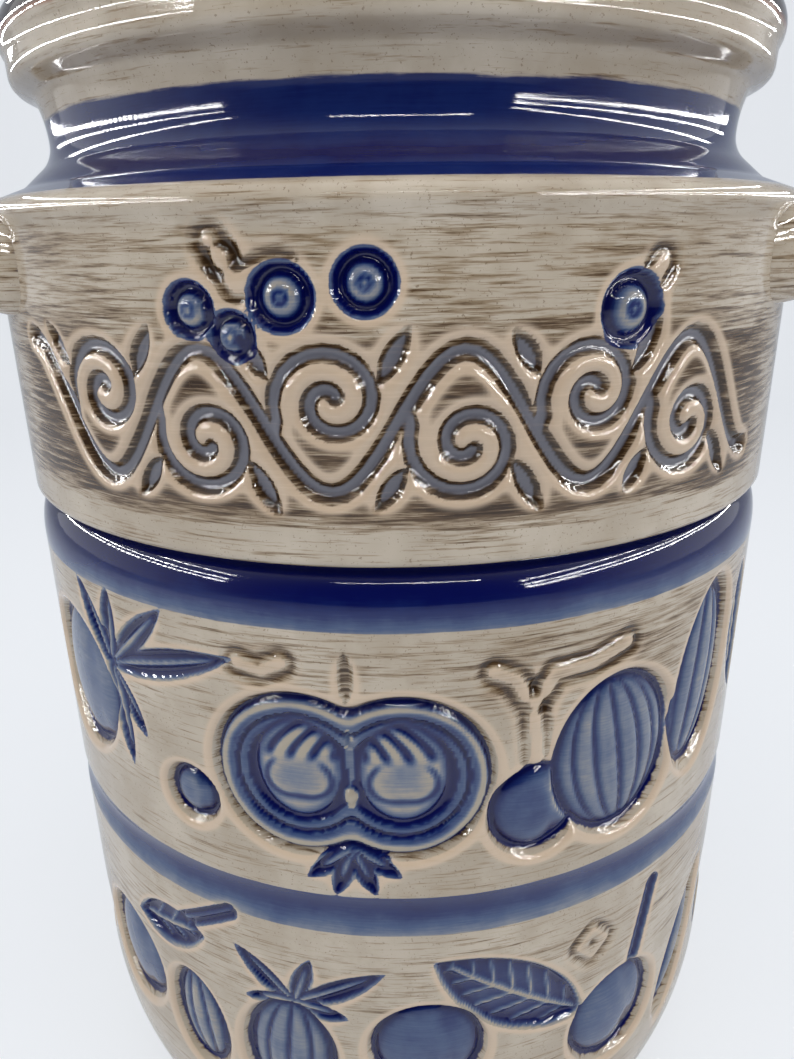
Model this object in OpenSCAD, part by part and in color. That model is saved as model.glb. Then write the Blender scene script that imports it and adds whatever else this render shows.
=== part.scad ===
// Lidded stoneware preserving pot with sunken fruit friezes, two lug handles and a knobbed lid.
// The origin is the middle of the standing ring, +Z is up and the front looks along -Y.

/* [Wall] */
// Outer radius of the wall
wall_r = 91.3; // [84:0.5:104]
// Thickness of the wall
wall_t = 7.5; // [6.5:0.5:9]
// Thickness of the floor over the standing ring
floor_t = 9; // [7:0.5:14]
// Height of the stretch in which the wall curves in to the foot
curve_h = 47; // [40:1:50]
// How far the wall curves in over that stretch
curve_in = 10; // [6:0.5:14]
// Radius of the rounding under the wall
heel_r = 4; // [2:0.5:6]
// Width of the standing ring
foot_w = 8; // [6:0.5:12]
// Depth of the hollow inside the standing ring
foot_h = 2.5; // [1.5:0.5:4]

/* [Bands] */
// Height of the lower frieze with the foot curve
low_h = 98; // [94:1:110]
// Height of the blue groove over the lower frieze
groove_h = 9.5; // [7:0.5:12]
// Depth of that groove
groove_d = 0.9; // [0.5:0.1:1.5]
// Height of the upper frieze
mid_h = 60; // [56:1:70]
// Height of the blue roll over the upper frieze
roll_h = 11.5; // [9:0.5:14]
// Depth of the crease over the roll
crease_d = 3; // [2:0.25:4]
// Width of that crease
crease_w = 2.5; // [1.5:0.5:4]
// Height of the top band, up to the shoulder
top_h = 59.5; // [56:1:70]

/* [Neck] */
// Radius of the rounding at the shoulder
shoulder_r = 3.2; // [2:0.2:4]
// How far the shoulder's edge stands out from the wall
shoulder_out = 1.2; // [0.4:0.2:2]
// Rise of the shoulder from its edge to the foot of the neck
shoulder_rise = 4; // [3:0.5:6]
// Outer radius of the throat
throat_r = 77.7; // [75:0.5:79]
// Thickness of the neck at the throat
neck_t = 6.6; // [5.5:0.2:8]
// Height of the throat above the foot of the neck
throat_h = 7; // [5:0.5:9]
// Height from the throat to the collar
flare_h = 9; // [8:0.5:12]
// Outer radius of the collar
collar_r = 83.7; // [82.5:0.3:86]
// Height of the collar up to the middle of the lip
collar_h = 9.5; // [8:0.5:16]
// Radius of the rounded brown lip
lip_r = 5.3; // [4:0.1:6]
// How far the lip stands out from the collar
lip_out = 1.1; // [0.3:0.2:2]
// Width of the flat land that carries the lid
land_w = 4.2; // [3:0.2:5]

/* [Handles] */
// Height of the handles' middle below the shoulder
handle_drop = 12; // [11.5:0.5:24]
// Half the distance between the roots of one handle
root_y = 45; // [40:1:50]
// How far the roots stand out from the wall
root_out = 6; // [5.5:0.5:8]
// How much thicker than the grip the roots are
root_rim = 1; // [0.5:0.25:1.5]
// How far the middle of the grip stands out from the wall
handle_out = 21; // [18:1:28]
// Thickness of the grip across
grip_w = 12; // [9:0.5:12.5]
// Height of the grip
grip_h = 16; // [14:0.5:19]

/* [Lid] */
// How far the lid's edge stays inside the lip's outer edge
lid_inset = 4; // [3:0.2:6]
// Thickness of the lid's flange
flange_t = 6.5; // [5:0.5:9]
// Radius of the rounding at the flange's upper edge
flange_r = 2.6; // [1.5:0.2:3.6]
// Width of the flat flange outside the dome
flange_w = 12; // [9:0.5:16]
// Depth of the ring cut at the foot of the dome
ring_d = 1.4; // [0.8:0.2:2]
// Rise of the dome over the flange
dome_h = 13; // [9:0.5:20]
// Thickness of the dome
dome_t = 5.5; // [4.5:0.5:7]
// Depth of the locating ring below the flange
skirt_h = 9; // [6:0.5:11]
// Thickness of the locating ring
skirt_t = 5; // [4:0.5:7]
// Clearance between the locating ring and the mouth
skirt_gap = 1.4; // [0.8:0.1:2.5]
// Radius of the flat top on which the knob stands
seat_r = 14; // [12.5:0.5:18]
// Radius of the knob
knob_r = 17; // [14:0.5:20]
// Height of the knob
knob_h = 25; // [21:0.5:30]
// Radius of the knob's foot
knob_foot_r = 12; // [10:0.5:12]
// Radius of the knob's waist
waist_r = 9.5; // [8:0.5:9.5]

/* [Relief] */
// Depth of the sunken fruit
sunk = 3.4; // [2.5:0.2:4]
// Width of the moat round each fruit
moat = 1.6; // [1.2:0.2:2.2]
// Depth of the sunken leaves and stalks
leaf_d = 1.8; // [1:0.2:2.4]
// Width of the lines cut into fruit and leaves
line_w = 0.9; // [0.7:0.1:1.3]
// Depth of those lines below the wall
line_d = 1.5; // [1:0.1:2]
// Depth of the top of each fruit below the wall
crown_d = 0.3; // [0.1:0.1:0.6]
// Radius of each lobe of the halved apple
apple_r = 18; // [16:0.5:20]
// Half the distance between the apple's lobes
apple_off = 10; // [8:0.5:11]
// Thickness of the apple's skin
skin_w = 2.6; // [1.6:0.2:3.2]

/* [Hidden] */
$fn = 96;

groove_z = low_h;
mid_z = groove_z + groove_h;
roll_z = mid_z + mid_h;
top_z = roll_z + roll_h;
shoulder_z = top_z + top_h;
neck_z = shoulder_z + shoulder_rise;
throat_z = neck_z + throat_h;
collar_z = throat_z + flare_h;
lip_z = collar_z + collar_h;
land_z = lip_z + lip_r;

inner_r = wall_r - wall_t;
heel_x = wall_r - curve_in - heel_r;
throat_bore = throat_r - neck_t;
lip_x = collar_r + lip_out - lip_r;
mouth_r = lip_x - land_w;
low_c = low_h - 38;
mid_c = mid_z + mid_h / 2;

handle_z = shoulder_z - handle_drop;
root_x = sqrt(wall_r * wall_r - root_y * root_y) + root_out;
grip_x = wall_r + handle_out;
bow = grip_x - root_x;
grip_r = (root_y * root_y + bow * bow) / (2 * bow);
grip_cx = grip_x - grip_r;
grip_half = atan2(root_y, root_x - grip_cx);
root_sweep = 34;

lid_r = collar_r + lip_out - lid_inset;
dome_r = lid_r - flange_w;
dome_z = land_z + flange_t + dome_h;
skirt_r = mouth_r - skirt_gap;

beige = [0.80, 0.76, 0.70];
cobalt = [0.13, 0.22, 0.55];

// Points of an arc from one angle to another
function arc(x, z, r, from, to, steps) =
    [for (i = [0 : steps]) let (a = from + (to - from) * i / steps) [x + r * cos(a), z + r * sin(a)]];

// Points of a quarter oval that leaves its first corner upright and meets its second one level
function bulge(x1, z1, x2, z2, steps) =
    [for (i = [0 : steps]) let (a = 90 * i / steps) [x2 + (x1 - x2) * cos(a), z1 + (z2 - z1) * sin(a)]];

// Points of the wall's curve from height z1 up to z2, at a distance in from the outside
function foot_curve(in, z1, z2, steps) =
    [for (i = [0 : steps]) let (t = i / steps)
        [wall_r - in - curve_in * pow(1 - t, 2), z1 + (z2 - z1) * t]];

// The outer line of the pot, from the standing ring up to the land under the lid
function pot_outside() = concat(
    [[heel_x - foot_w, 0]],
    arc(heel_x, heel_r, heel_r, -90, -15, 5),
    foot_curve(0, heel_r + 1, curve_h, 8),
    [for (i = [0 : 6]) [wall_r - groove_d * sin(30 * i), groove_z + groove_h * i / 6]],
    bulge(wall_r, roll_z, wall_r - crease_d, top_z - crease_w, 7),
    [[wall_r - crease_d, top_z - 1], [wall_r - 1, top_z], [wall_r, top_z + 1]],
    [[wall_r, shoulder_z - shoulder_r - 1.5]],
    arc(wall_r + shoulder_out - shoulder_r, shoulder_z - shoulder_r, shoulder_r, 0, 75, 6),
    arc(throat_r + throat_h, throat_z, throat_h, 236, 180, 6),
    arc(throat_r + 2.5 * flare_h, throat_z, 2.5 * flare_h, 177, 158, 4),
    arc(collar_r - 2.2, collar_z + 3, 2.2, -55, 0, 4),
    arc(lip_x, lip_z, lip_r, -35, 90, 9));

// The inner line of the pot, from the mouth down to the floor and out to the standing ring
function pot_inside() = concat(
    [[mouth_r, land_z], [mouth_r, collar_z + 2], [throat_bore, throat_z + 2]],
    bulge(throat_bore, neck_z - 3, inner_r, shoulder_z - wall_t - 12, 6),
    foot_curve(wall_t, curve_h, heel_r + 2 * foot_h, 6),
    [[heel_x - wall_t, foot_h + floor_t], [0, foot_h + floor_t]],
    [[0, foot_h], [heel_x - foot_w - 2, foot_h]]);

// Places its children on the wall, at an angle to the right of the front and a height
module at_wall(turn, z, tilt = 0) {
    rotate([0, 0, turn])
        translate([0, -wall_r, z])
            rotate([0, tilt, 0])
                children();
}

// Pushes a flat outline square through the wall's surface down to a depth
module push(deep = wall_t) {
    translate([0, deep, 0])
        rotate([90, 0, 0])
            linear_extrude(deep + 3)
                children();
}

// Keeps what lies outside a cylinder that is a given depth under the wall's surface
module down_to(deep) {
    difference() {
        children();
        cylinder(r = wall_r - deep, h = shoulder_z, $fn = 128);
    }
}

// Full oval
module oval(w, h) {
    scale([w / 2, h / 2]) circle(1);
}

// Pointed oval between two arcs
module blade(w, h) {
    r = (w * w + h * h) / (4 * w);
    intersection() {
        translate([r - w / 2, 0]) circle(r);
        translate([w / 2 - r, 0]) circle(r);
    }
}

// Two lobes side by side
module lobes(r, off) {
    translate([-off, 0]) circle(r);
    translate([off, 0]) circle(r);
}

// Rounds the top of a raised outline of width w into a low dome
module swell(w) {
    rise = sunk - crown_d + w * w / (16 * wall_r);
    r = (w * w / 4 + rise * rise) / (2 * rise);
    intersection() {
        push() children();
        translate([0, r + crown_d, 0]) sphere(r);
    }
}

module plum(r) {
    swell(2 * r) circle(r - moat);
}

// Long fruit with lines cut between its ribs
module ribbed(w, h) {
    difference() {
        swell(w) oval(w - 2 * moat, h - 2 * moat);
        for (share = [0.2, 0.62])
            push(line_d)
                difference() {
                    blade(w * share + line_w, h);
                    blade(w * share - line_w, h - 2 * line_w);
                }
    }
}

// The bed of the halved apple, with the stem's notch over it and the dry blossom under it
module apple_bed() {
    push() lobes(apple_r, apple_off);
}
module apple_trim() {
    translate([0, 0, apple_r + 3]) push() blade(4.5, 11);
    for (lean = [-48, -16, 16, 48])
        translate([0, 0, 3 - apple_r])
            rotate([0, 180 + lean, 0])
                translate([0, 0, 4])
                    push() blade(3.4, 11);
}

// The apple's raised skin, and its two halves of flesh on either side of the core
module apple_skin() {
    push()
        difference() {
            lobes(apple_r - moat, apple_off);
            lobes(apple_r - moat - skin_w, apple_off);
        }
}
module apple_flesh() {
    lobe_r = apple_r - 2 * moat - skin_w;
    for (side = [-1, 1])
        translate([side * apple_off, 0.4, 0])
            swell(2 * apple_r)
                difference() {
                    circle(lobe_r);
                    translate([-side * apple_off, 0]) blade(5, 2 * lobe_r);
                    translate([-side * apple_off, -2]) circle(2.4);
                }
}

// Leaf with its middle rib left standing
module leaf(w, h) {
    push()
        difference() {
            blade(w, h);
            blade(1.4, h * 0.8);
        }
}

// Stalk with round ends
module stalk(w, h) {
    push() {
        square([w, h], center = true);
        for (end = [-1, 1]) translate([0, end * h / 2]) circle(w / 2);
    }
}

// Crown of sepals that grow from one round middle: each is a lean from upright and a length
module sepals(list) {
    middle = 2.2;
    push() circle(middle);
    for (sepal = list)
        rotate([0, sepal[0], 0])
            translate([0, 0, (sepal[1] - middle) / 2])
                push() blade(sepal[1] * 0.08 + 2.6, sepal[1]);
}

// The fruit of both friezes: angle to the right of the front, height, then sizes and lean
plums = [
    [-52.7, mid_c + 1, 17], [-28.2, mid_c - 13, 6.5], [17, mid_c - 13, 10.5], [72, mid_c - 12, 9],
    [92, mid_c - 5, 15], [110, mid_c - 13, 8], [-49, low_c + 2, 14], [3, low_c + 4, 13],
    [33, low_c - 3, 13.5], [76, low_c + 1, 13], [113, low_c - 2, 10]];
ribs = [
    [28.9, mid_c - 5.5, 32, 38, -10], [46, mid_c + 3, 22, 44, 8], [-32.6, low_c - 3, 17, 28, -8],
    [-17, low_c - 2, 23, 32, 4], [50.5, low_c, 13, 40, 24], [95, low_c - 3, 20, 32, 10]];
leaves = [
    [60, mid_c + 6, 14, 34, -8], [80, mid_c + 14, 11, 26, 62], [105, mid_c + 13, 11, 26, -58],
    [-36.5, low_c + 23, 10, 22, 78], [15, low_c + 17, 16, 42, -55], [64, low_c + 6, 12, 32, 14],
    [86, low_c + 22, 10, 26, 60], [106, low_c + 18, 10, 26, -60]];
stalks = [[-28.5, low_c + 32, 3.4, 16, 58], [37, low_c + 22, 3.2, 20, 12]];
crowns = [
    [-41.4, mid_c + 11, [[-28, 18], [8, 17], [48, 24], [74, 34], [144, 16]]],
    [-15.5, low_c + 15, [[-46, 17], [18, 13], [60, 22], [-95, 10], [98, 11]]]];
berries = [
    [-20.9, top_z + 41, 3.8], [-16.4, top_z + 37, 3.4], [-11, top_z + 43, 4.6],
    [-2.8, top_z + 45, 4.3], [24.8, top_z + 40, 5.4]];
apple_turn = -6.3;
apple_z = mid_c - 3;

// The sunken beds of the fruit
module fruit_beds() {
    down_to(sunk) {
        for (p = plums) at_wall(p[0], p[1]) push() circle(p[2]);
        for (p = ribs) at_wall(p[0], p[1], p[4]) push() oval(p[2], p[3]);
        at_wall(apple_turn, apple_z) apple_bed();
    }
}

// The shallower leaves, stalks and berry cups
module leaf_beds() {
    down_to(leaf_d) {
        for (p = leaves) at_wall(p[0], p[1], p[4]) leaf(p[2], p[3]);
        for (p = stalks) at_wall(p[0], p[1], p[4]) stalk(p[2], p[3]);
        for (p = crowns) at_wall(p[0], p[1]) sepals(p[2]);
        for (p = berries) at_wall(p[0], p[1]) push() circle(p[2] + 0.8);
        at_wall(apple_turn, apple_z) apple_trim();
    }
}

// The fruit that stands in the beds
module fruit() {
    down_to(sunk + 0.5) {
        for (p = plums) at_wall(p[0], p[1]) plum(p[2]);
        for (p = ribs) at_wall(p[0], p[1], p[4]) ribbed(p[2], p[3]);
        at_wall(apple_turn, apple_z) apple_flesh();
        intersection() {
            at_wall(apple_turn, apple_z) apple_skin();
            cylinder(r = wall_r - crown_d, h = shoulder_z, $fn = 128);
        }
    }
    down_to(leaf_d + 0.5)
        for (p = berries)
            at_wall(p[0], p[1]) translate([0, p[2] - 1.7, 0]) rotate([90, 0, 0]) sphere(p[2] - moat / 2);
}

// The grip's upright section, grown by rim on every side
module grip_section(rim = 0) {
    r = grip_w / 2 + rim;
    rise = (grip_h - grip_w) / 2;
    for (side = [-1, 1]) translate([0, side * rise]) circle(r, $fn = 48);
    square([2 * r, 2 * rise], center = true);
}

// The two moulded roots on which one handle is luted
module roots() {
    for (side = [-1, 1])
        translate([grip_cx, 0, handle_z])
            rotate([0, 0, side > 0 ? grip_half : -grip_half - root_sweep])
                rotate_extrude(angle = root_sweep)
                    translate([grip_r, 0]) grip_section(root_rim);
}

module pot_body() {
    color(beige)
    union() {
        difference() {
            rotate_extrude($fn = 128) polygon(concat(pot_outside(), pot_inside()));
            for (half = [0, 180]) rotate([0, 0, half]) { fruit_beds(); leaf_beds(); }
        }
        for (half = [0, 180]) rotate([0, 0, half]) fruit();
        difference() {
            for (half = [0, 180]) rotate([0, 0, half]) roots();
            translate([0, 0, handle_z - grip_h]) cylinder(r = inner_r + wall_t / 2, h = 2 * grip_h);
        }
    }
}

// Bowed lug handle that stands out on the +X side
module handle() {
    color(beige)
    translate([grip_cx, 0, handle_z])
        rotate([0, 0, -grip_half])
            rotate_extrude(angle = 2 * grip_half)
                translate([grip_r, 0]) grip_section();
}

module handle_right() {
    handle();
}

module handle_left() {
    rotate([0, 0, 180]) handle();
}

// Outer line of the lid from the flange's edge up to the knob's seat
function lid_outside() = concat(
    [[lid_r - 1, land_z], [lid_r, land_z + 1]],
    arc(lid_r - flange_r, land_z + flange_t - flange_r, flange_r, 0, 90, 6),
    [[dome_r + 2, land_z + flange_t], [dome_r + 1, land_z + flange_t - ring_d]],
    [[dome_r - 1, land_z + flange_t - ring_d], [dome_r - 2, land_z + flange_t + 0.6]],
    [for (i = [1 : 8]) let (t = i / 8)
        [dome_r - 2 - (dome_r - 2 - seat_r) * t, land_z + flange_t + 0.6 + (dome_h - 0.6) * sin(90 * t)]]);

// Inner line of the lid from under the knob down to the locating ring
function lid_inside() = concat(
    [[0, dome_z], [0, dome_z - dome_t]],
    [for (i = [8 : -1 : 2]) let (t = i / 8)
        [(skirt_r - skirt_t) - (skirt_r - skirt_t - seat_r) * t, dome_z - dome_t - dome_h * (1 - sin(90 * t))]],
    [[skirt_r - skirt_t, land_z], [skirt_r - skirt_t, land_z - skirt_h + 1]],
    [[skirt_r - skirt_t + 1, land_z - skirt_h], [skirt_r - 1, land_z - skirt_h]],
    [[skirt_r, land_z - skirt_h + 1], [skirt_r, land_z]]);

module lid() {
    color(beige)
    rotate_extrude($fn = 128) polygon(concat(lid_outside(), lid_inside()));
}

// Knob like a plump berry on a short waist
module lid_knob() {
    head_h = knob_h * 0.66;
    color(cobalt)
    translate([0, 0, dome_z])
        rotate_extrude()
            polygon(concat(
                [[0, 0], [knob_foot_r - 1, 0]],
                arc(knob_foot_r - 1, 1, 1, -90, 0, 3),
                [[waist_r, knob_h * 0.2], [waist_r, knob_h * 0.26]],
                [for (i = [0 : 10]) let (a = -60 + 15 * i)
                    [knob_r * cos(a), knob_h - head_h / 2 + head_h / 2 * sin(a)]]));
}

pot_body();
handle_left();
handle_right();
lid();
lid_knob();
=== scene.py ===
import math
import bpy
import numpy as np
from mathutils import Matrix, Vector


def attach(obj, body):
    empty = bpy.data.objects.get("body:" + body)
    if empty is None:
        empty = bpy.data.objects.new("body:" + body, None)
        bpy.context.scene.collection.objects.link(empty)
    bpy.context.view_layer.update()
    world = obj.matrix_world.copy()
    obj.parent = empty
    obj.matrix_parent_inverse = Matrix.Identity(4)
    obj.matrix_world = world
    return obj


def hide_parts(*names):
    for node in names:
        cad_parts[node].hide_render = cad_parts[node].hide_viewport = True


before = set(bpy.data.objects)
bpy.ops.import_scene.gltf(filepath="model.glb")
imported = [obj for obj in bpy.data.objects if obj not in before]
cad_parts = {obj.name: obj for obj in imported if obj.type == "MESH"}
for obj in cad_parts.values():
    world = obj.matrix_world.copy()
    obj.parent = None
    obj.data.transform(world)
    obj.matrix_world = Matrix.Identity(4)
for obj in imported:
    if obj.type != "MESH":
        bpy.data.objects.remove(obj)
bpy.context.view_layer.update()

# CAMERA
# A phone held close to the pot's front, just under the level of the shoulder, and tipped down.
PICTURE_HIGH, FOCUS_PIXELS = 1059, 796
SENSOR_WIDE, NEAREST = 36.0, 0.01
camera_data = bpy.data.cameras.new("camera")
camera_data.sensor_width = SENSOR_WIDE
camera_data.lens = SENSOR_WIDE * FOCUS_PIXELS / PICTURE_HIGH
camera_data.clip_start = NEAREST
camera = bpy.data.objects.new("camera", camera_data)
bpy.context.scene.collection.objects.link(camera)
bpy.context.scene.camera = camera
eye = Vector((0.0, -0.2141, 0.2303))
tipped, rolled, turned_right = 0.352, -0.016, -0.002
ahead = Vector((math.sin(turned_right) * math.cos(tipped),
                math.cos(turned_right) * math.cos(tipped), -math.sin(tipped)))
level = Vector((math.cos(turned_right), -math.sin(turned_right), 0))
over = level.cross(ahead)
across = math.cos(rolled) * level + math.sin(rolled) * over
upward = -math.sin(rolled) * level + math.cos(rolled) * over
camera.matrix_world = (Matrix.Translation(eye)
                       @ Matrix((across, upward, -ahead)).transposed().to_4x4())
bpy.context.scene.view_settings.view_transform = "Standard"

# LIGHT TENT
# White cloth on every side but the front, one bent sheet as floor and back, and bars of small
# lamps along both sides and above the open front, which show in the glaze.
CLOTH_WHITE, CLOTH_LIGHT = (0.94, 0.965, 1.0, 1.0), (0.93, 0.96, 1.0, 1.0)
LIGHT_ON_POT = 0.5
OPENING_DARK, CLOTH_BRIGHT, OPENING_FROM, OPENING_TO = 0.02, 0.95, -0.95, 0.15


def node(tree, kind, given, output=0, **settings):
    """One shader node, its sockets filled by values or by links; gives back one of its outputs"""
    made = tree.nodes.new("ShaderNode" + kind)
    for key, value in settings.items():
        setattr(made, key, value)
    for socket, value in given.items():
        if isinstance(value, bpy.types.NodeSocket):
            tree.links.new(value, made.inputs[socket])
        else:
            made.inputs[socket].default_value = value
    return made.outputs[output]


world = bpy.data.worlds.new("tent")
bpy.context.scene.world = world
world.use_nodes = True
cloth = world.node_tree
cloth.nodes.clear()
towards = node(cloth, "TexCoord", {}, "Generated")
front_to_back = node(cloth, "SeparateXYZ", {0: towards}, "Y")
mirrored = node(cloth, "MapRange", {"Value": front_to_back, "From Min": OPENING_FROM,
                                    "From Max": OPENING_TO, "To Min": OPENING_DARK,
                                    "To Max": CLOTH_BRIGHT}, interpolation_type="SMOOTHSTEP")
glossy_ray = node(cloth, "LightPath", {}, "Is Glossy Ray")
strength = node(cloth, "Mix", {0: glossy_ray, 2: LIGHT_ON_POT, 3: mirrored})
lit = node(cloth, "Background", {"Color": CLOTH_LIGHT, "Strength": strength})
seen = node(cloth, "Background", {"Color": CLOTH_WHITE, "Strength": 1.0})
camera_ray = node(cloth, "LightPath", {}, "Is Camera Ray")
choice = node(cloth, "MixShader", {0: camera_ray, 1: lit, 2: seen})
cloth.links.new(choice, cloth.nodes.new("ShaderNodeOutputWorld").inputs[0])

BEND_RADIUS, SHEET_WIDE, SHEET_FRONT, SHEET_BACK, SHEET_TOP = 0.5, 4.0, -2.5, 0.9, 2.6
SHEET_MATTE, SHEET_GLOW = (0.82, 0.85, 0.9, 1.0), 0.62


def bare_material(name):
    material = bpy.data.materials.new(name)
    material.use_nodes = True
    material.node_tree.nodes.clear()
    return material


def staged_mesh(name, points, faces, material):
    """Something that stands round the pot and isn't part of it"""
    mesh = bpy.data.meshes.new(name)
    mesh.from_pydata(points, [], faces)
    mesh.materials.append(material)
    thing = bpy.data.objects.new(name, mesh)
    bpy.context.scene.collection.objects.link(thing)
    return thing


bend = [(SHEET_FRONT, 0.0)]
bend += [(SHEET_BACK + BEND_RADIUS * math.sin(a), BEND_RADIUS * (1 - math.cos(a)))
         for a in np.linspace(0, math.pi / 2, 25)]
bend += [(SHEET_BACK + BEND_RADIUS, SHEET_TOP)]
sheet_look = bare_material("sheet_white")
tree = sheet_look.node_tree
camera_ray = node(tree, "LightPath", {}, "Is Camera Ray")
share = node(tree, "Math", {0: camera_ray, 1: SHEET_GLOW}, operation="MULTIPLY")
matte = node(tree, "BsdfDiffuse", {"Color": SHEET_MATTE})
glow = node(tree, "Emission", {"Color": CLOTH_WHITE})
choice = node(tree, "MixShader", {0: share, 1: matte, 2: glow})
tree.links.new(choice, tree.nodes.new("ShaderNodeOutputMaterial").inputs[0])
sheet = staged_mesh("sheet", [(x, y, z) for y, z in bend for x in (-SHEET_WIDE / 2, SHEET_WIDE / 2)],
                    [(2 * i, 2 * i + 1, 2 * i + 3, 2 * i + 2) for i in range(len(bend) - 1)], sheet_look)
for face in sheet.data.polygons:
    face.use_smooth = True

LAMP_WARM, LAMP_AIM = (1.0, 0.985, 0.96), Vector((0, 0, 0.17))
for name, place, wide, watts in (("roof", (0.0, -0.25, 0.95), 0.9, 4.2),
                                 ("left_side", (-0.75, -0.35, 0.4), 0.6, 1.7),
                                 ("right_side", (0.75, -0.35, 0.4), 0.6, 1.7)):
    lamp_data = bpy.data.lights.new(name, "AREA")
    lamp_data.size = wide
    lamp_data.energy = watts
    lamp_data.color = LAMP_WARM
    lamp = bpy.data.objects.new(name, lamp_data)
    lamp.location = place
    lamp.rotation_euler = (LAMP_AIM - Vector(place)).to_track_quat("-Z", "Y").to_euler()
    lamp.visible_camera = False
    lamp.visible_glossy = False
    bpy.context.scene.collection.objects.link(lamp)

LED_SIDE, LED_STEP, LED_BRIGHT, LED_AIM = 0.0075, 0.0145, 90.0, Vector((0, 0, 0.2))
bars = [((x, y, z), (0, 1, 0), count) for x, y, count in ((-0.38, -0.35, 46), (0.38, -0.56, 56))
        for z in (0.29, 0.34, 0.44)]
bars += [((-0.17, -0.52, 0.56), (1, 0, 0), 28)]
leds, led_faces = [], []
for first, run, count in bars:
    for i in range(count):
        middle = Vector(first) + Vector(run) * (LED_STEP * i)
        look = (LED_AIM - middle).normalized()
        side = look.cross(Vector((0, 0, 1))).normalized() * LED_SIDE / 2
        rise = side.cross(look).normalized() * LED_SIDE / 2
        led_faces.append(tuple(range(len(leds), len(leds) + 4)))
        corners = (-side - rise, side - rise, side + rise, rise - side)
        leds += [tuple(middle + corner) for corner in corners]
led_look = bare_material("lamp_dots")
tree = led_look.node_tree
glossy_ray = node(tree, "LightPath", {}, "Is Glossy Ray")
bright = node(tree, "Math", {0: glossy_ray, 1: LED_BRIGHT}, operation="MULTIPLY")
glow = node(tree, "Emission", {"Strength": bright})
tree.links.new(glow, tree.nodes.new("ShaderNodeOutputMaterial").inputs[0])
lamp_bars = staged_mesh("lamp_bars", leds, led_faces, led_look)
lamp_bars.visible_camera = False
lamp_bars.visible_diffuse = False
lamp_bars.visible_shadow = False

# POT WALL: line
# The jar is slip-cast stoneware: a straight wall in three bands, a drawn-in neck, a thick collar
# and a rounded lip. All sizes are in millimetres from the foot, and MM turns them into metres.
MM = 0.001
WALL, THICK = 91.3, 7.5
FOOT_RADIUS, FOOT_ROUND, FOOT_INSIDE, BASE_UP, FLOOR = 77.3, 4.0, 69.3, 2.5, 11.5
TUCK, TUCK_FROM, TUCK_HIGH = 10.0, 5.0, 42.0
GROOVE, GROOVE_HIGH, GROOVE_DEEP = 98.0, 9.5, 0.9
ROLL, ROLL_TOP, CREASE, TOP_BAND = 167.2, 176.4, 4.0, 178.2
SHOULDER, SHOULDER_ROUND, NECK_FOOT = 238.5, 3.2, 242.5
THROAT, THROAT_RADIUS, THROAT_BORE, NECK_ROUND, NECK_FLARE = 249.5, 77.7, 71.1, 7.0, 22.5
COLLAR, COLLAR_RADIUS, COLLAR_ROUND = 258.5, 83.7, 2.2
LIP, LIP_MIDDLE, LIP_ROUND, LAND, MOUTH = 268.0, 79.5, 5.3, 273.3, 75.3
INSIDE_NECK, INSIDE_DROP = 239.5, 20.5


def bow(r, z, radius, start, end, steps=16):
    """Points of an arc in the turning plane, in degrees"""
    return [(r + radius * math.cos(math.radians(a)), z + radius * math.sin(math.radians(a)))
            for a in np.linspace(start, end, steps)]


outside_line = bow(FOOT_RADIUS, FOOT_ROUND, FOOT_ROUND, -90, -15)
outside_line += [(WALL - TUCK * (1 - t) ** 2, TUCK_FROM + TUCK_HIGH * t) for t in np.linspace(0, 1, 20)]
outside_line += [(WALL - GROOVE_DEEP * math.sin(math.pi * t), GROOVE + GROOVE_HIGH * t)
                 for t in np.linspace(0, 1, 17)]
outside_line += [(WALL - CREASE * (1 - math.cos(a)), ROLL + (ROLL_TOP - ROLL) * math.sin(a))
                 for a in np.linspace(0, math.pi / 2, 20)]
outside_line += [(WALL - CREASE, 177.2), (WALL - 2.4, 177.6), (WALL - 0.7, 178.0), (WALL, 178.9)]
outside_line += [(WALL, 232.5), (WALL + 0.4, 233.8)]
outside_line += bow(WALL - 2.0, SHOULDER - SHOULDER_ROUND, SHOULDER_ROUND, 0, 75)
outside_line += [(87.6, 239.3), (84.2, 240.6)]
outside_line += bow(THROAT_RADIUS + NECK_ROUND, THROAT, NECK_ROUND, 232, 180)
outside_line += bow(THROAT_RADIUS + NECK_FLARE, THROAT, NECK_FLARE, 177, 158)
outside_line += bow(COLLAR_RADIUS - COLLAR_ROUND, COLLAR + 3, COLLAR_ROUND, -55, 0)
outside_line += bow(LIP_MIDDLE, LIP, LIP_ROUND, -35, 90, 24)
BORE = WALL - THICK
inside_line = [(MOUTH + 0.3, LAND), (MOUTH, LAND - 0.4), (MOUTH, COLLAR + 2)]
inside_line += [(THROAT_BORE, THROAT + 2), (THROAT_BORE, INSIDE_NECK)]
inside_line += [(BORE - (BORE - THROAT_BORE) * math.cos(a), INSIDE_NECK - INSIDE_DROP * math.sin(a))
                for a in np.linspace(0.1, math.pi / 2, 12)]
inside_line += [(BORE - TUCK * (1 - t) ** 2, 9 + 38 * t) for t in np.linspace(1, 0, 14)]
inside_line += [(72.0, FLOOR - 0.3), (68.0, FLOOR), (0.0, FLOOR)]
base_line = [(0.0, BASE_UP), (FOOT_INSIDE - 2, BASE_UP), (FOOT_INSIDE, 0.0), (FOOT_RADIUS, 0.0)]


def stepped(line, step):
    """The line again, with points at steps that may change with height"""
    line = np.array(line, float)
    run = np.concatenate([[0], np.cumsum(np.hypot(*np.diff(line, axis=0).T))])
    marks = [0.0]
    while marks[-1] < run[-1]:
        marks.append(marks[-1] + step(np.interp(marks[-1], run, line[:, 1])))
    marks = np.array(marks) * run[-1] / marks[-1]
    return np.stack([np.interp(marks, run, line[:, 0]), np.interp(marks, run, line[:, 1])], 1)


FINE_STEP, MIDDLE_STEP, COARSE_STEP = 0.62, 0.9, 1.6


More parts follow.
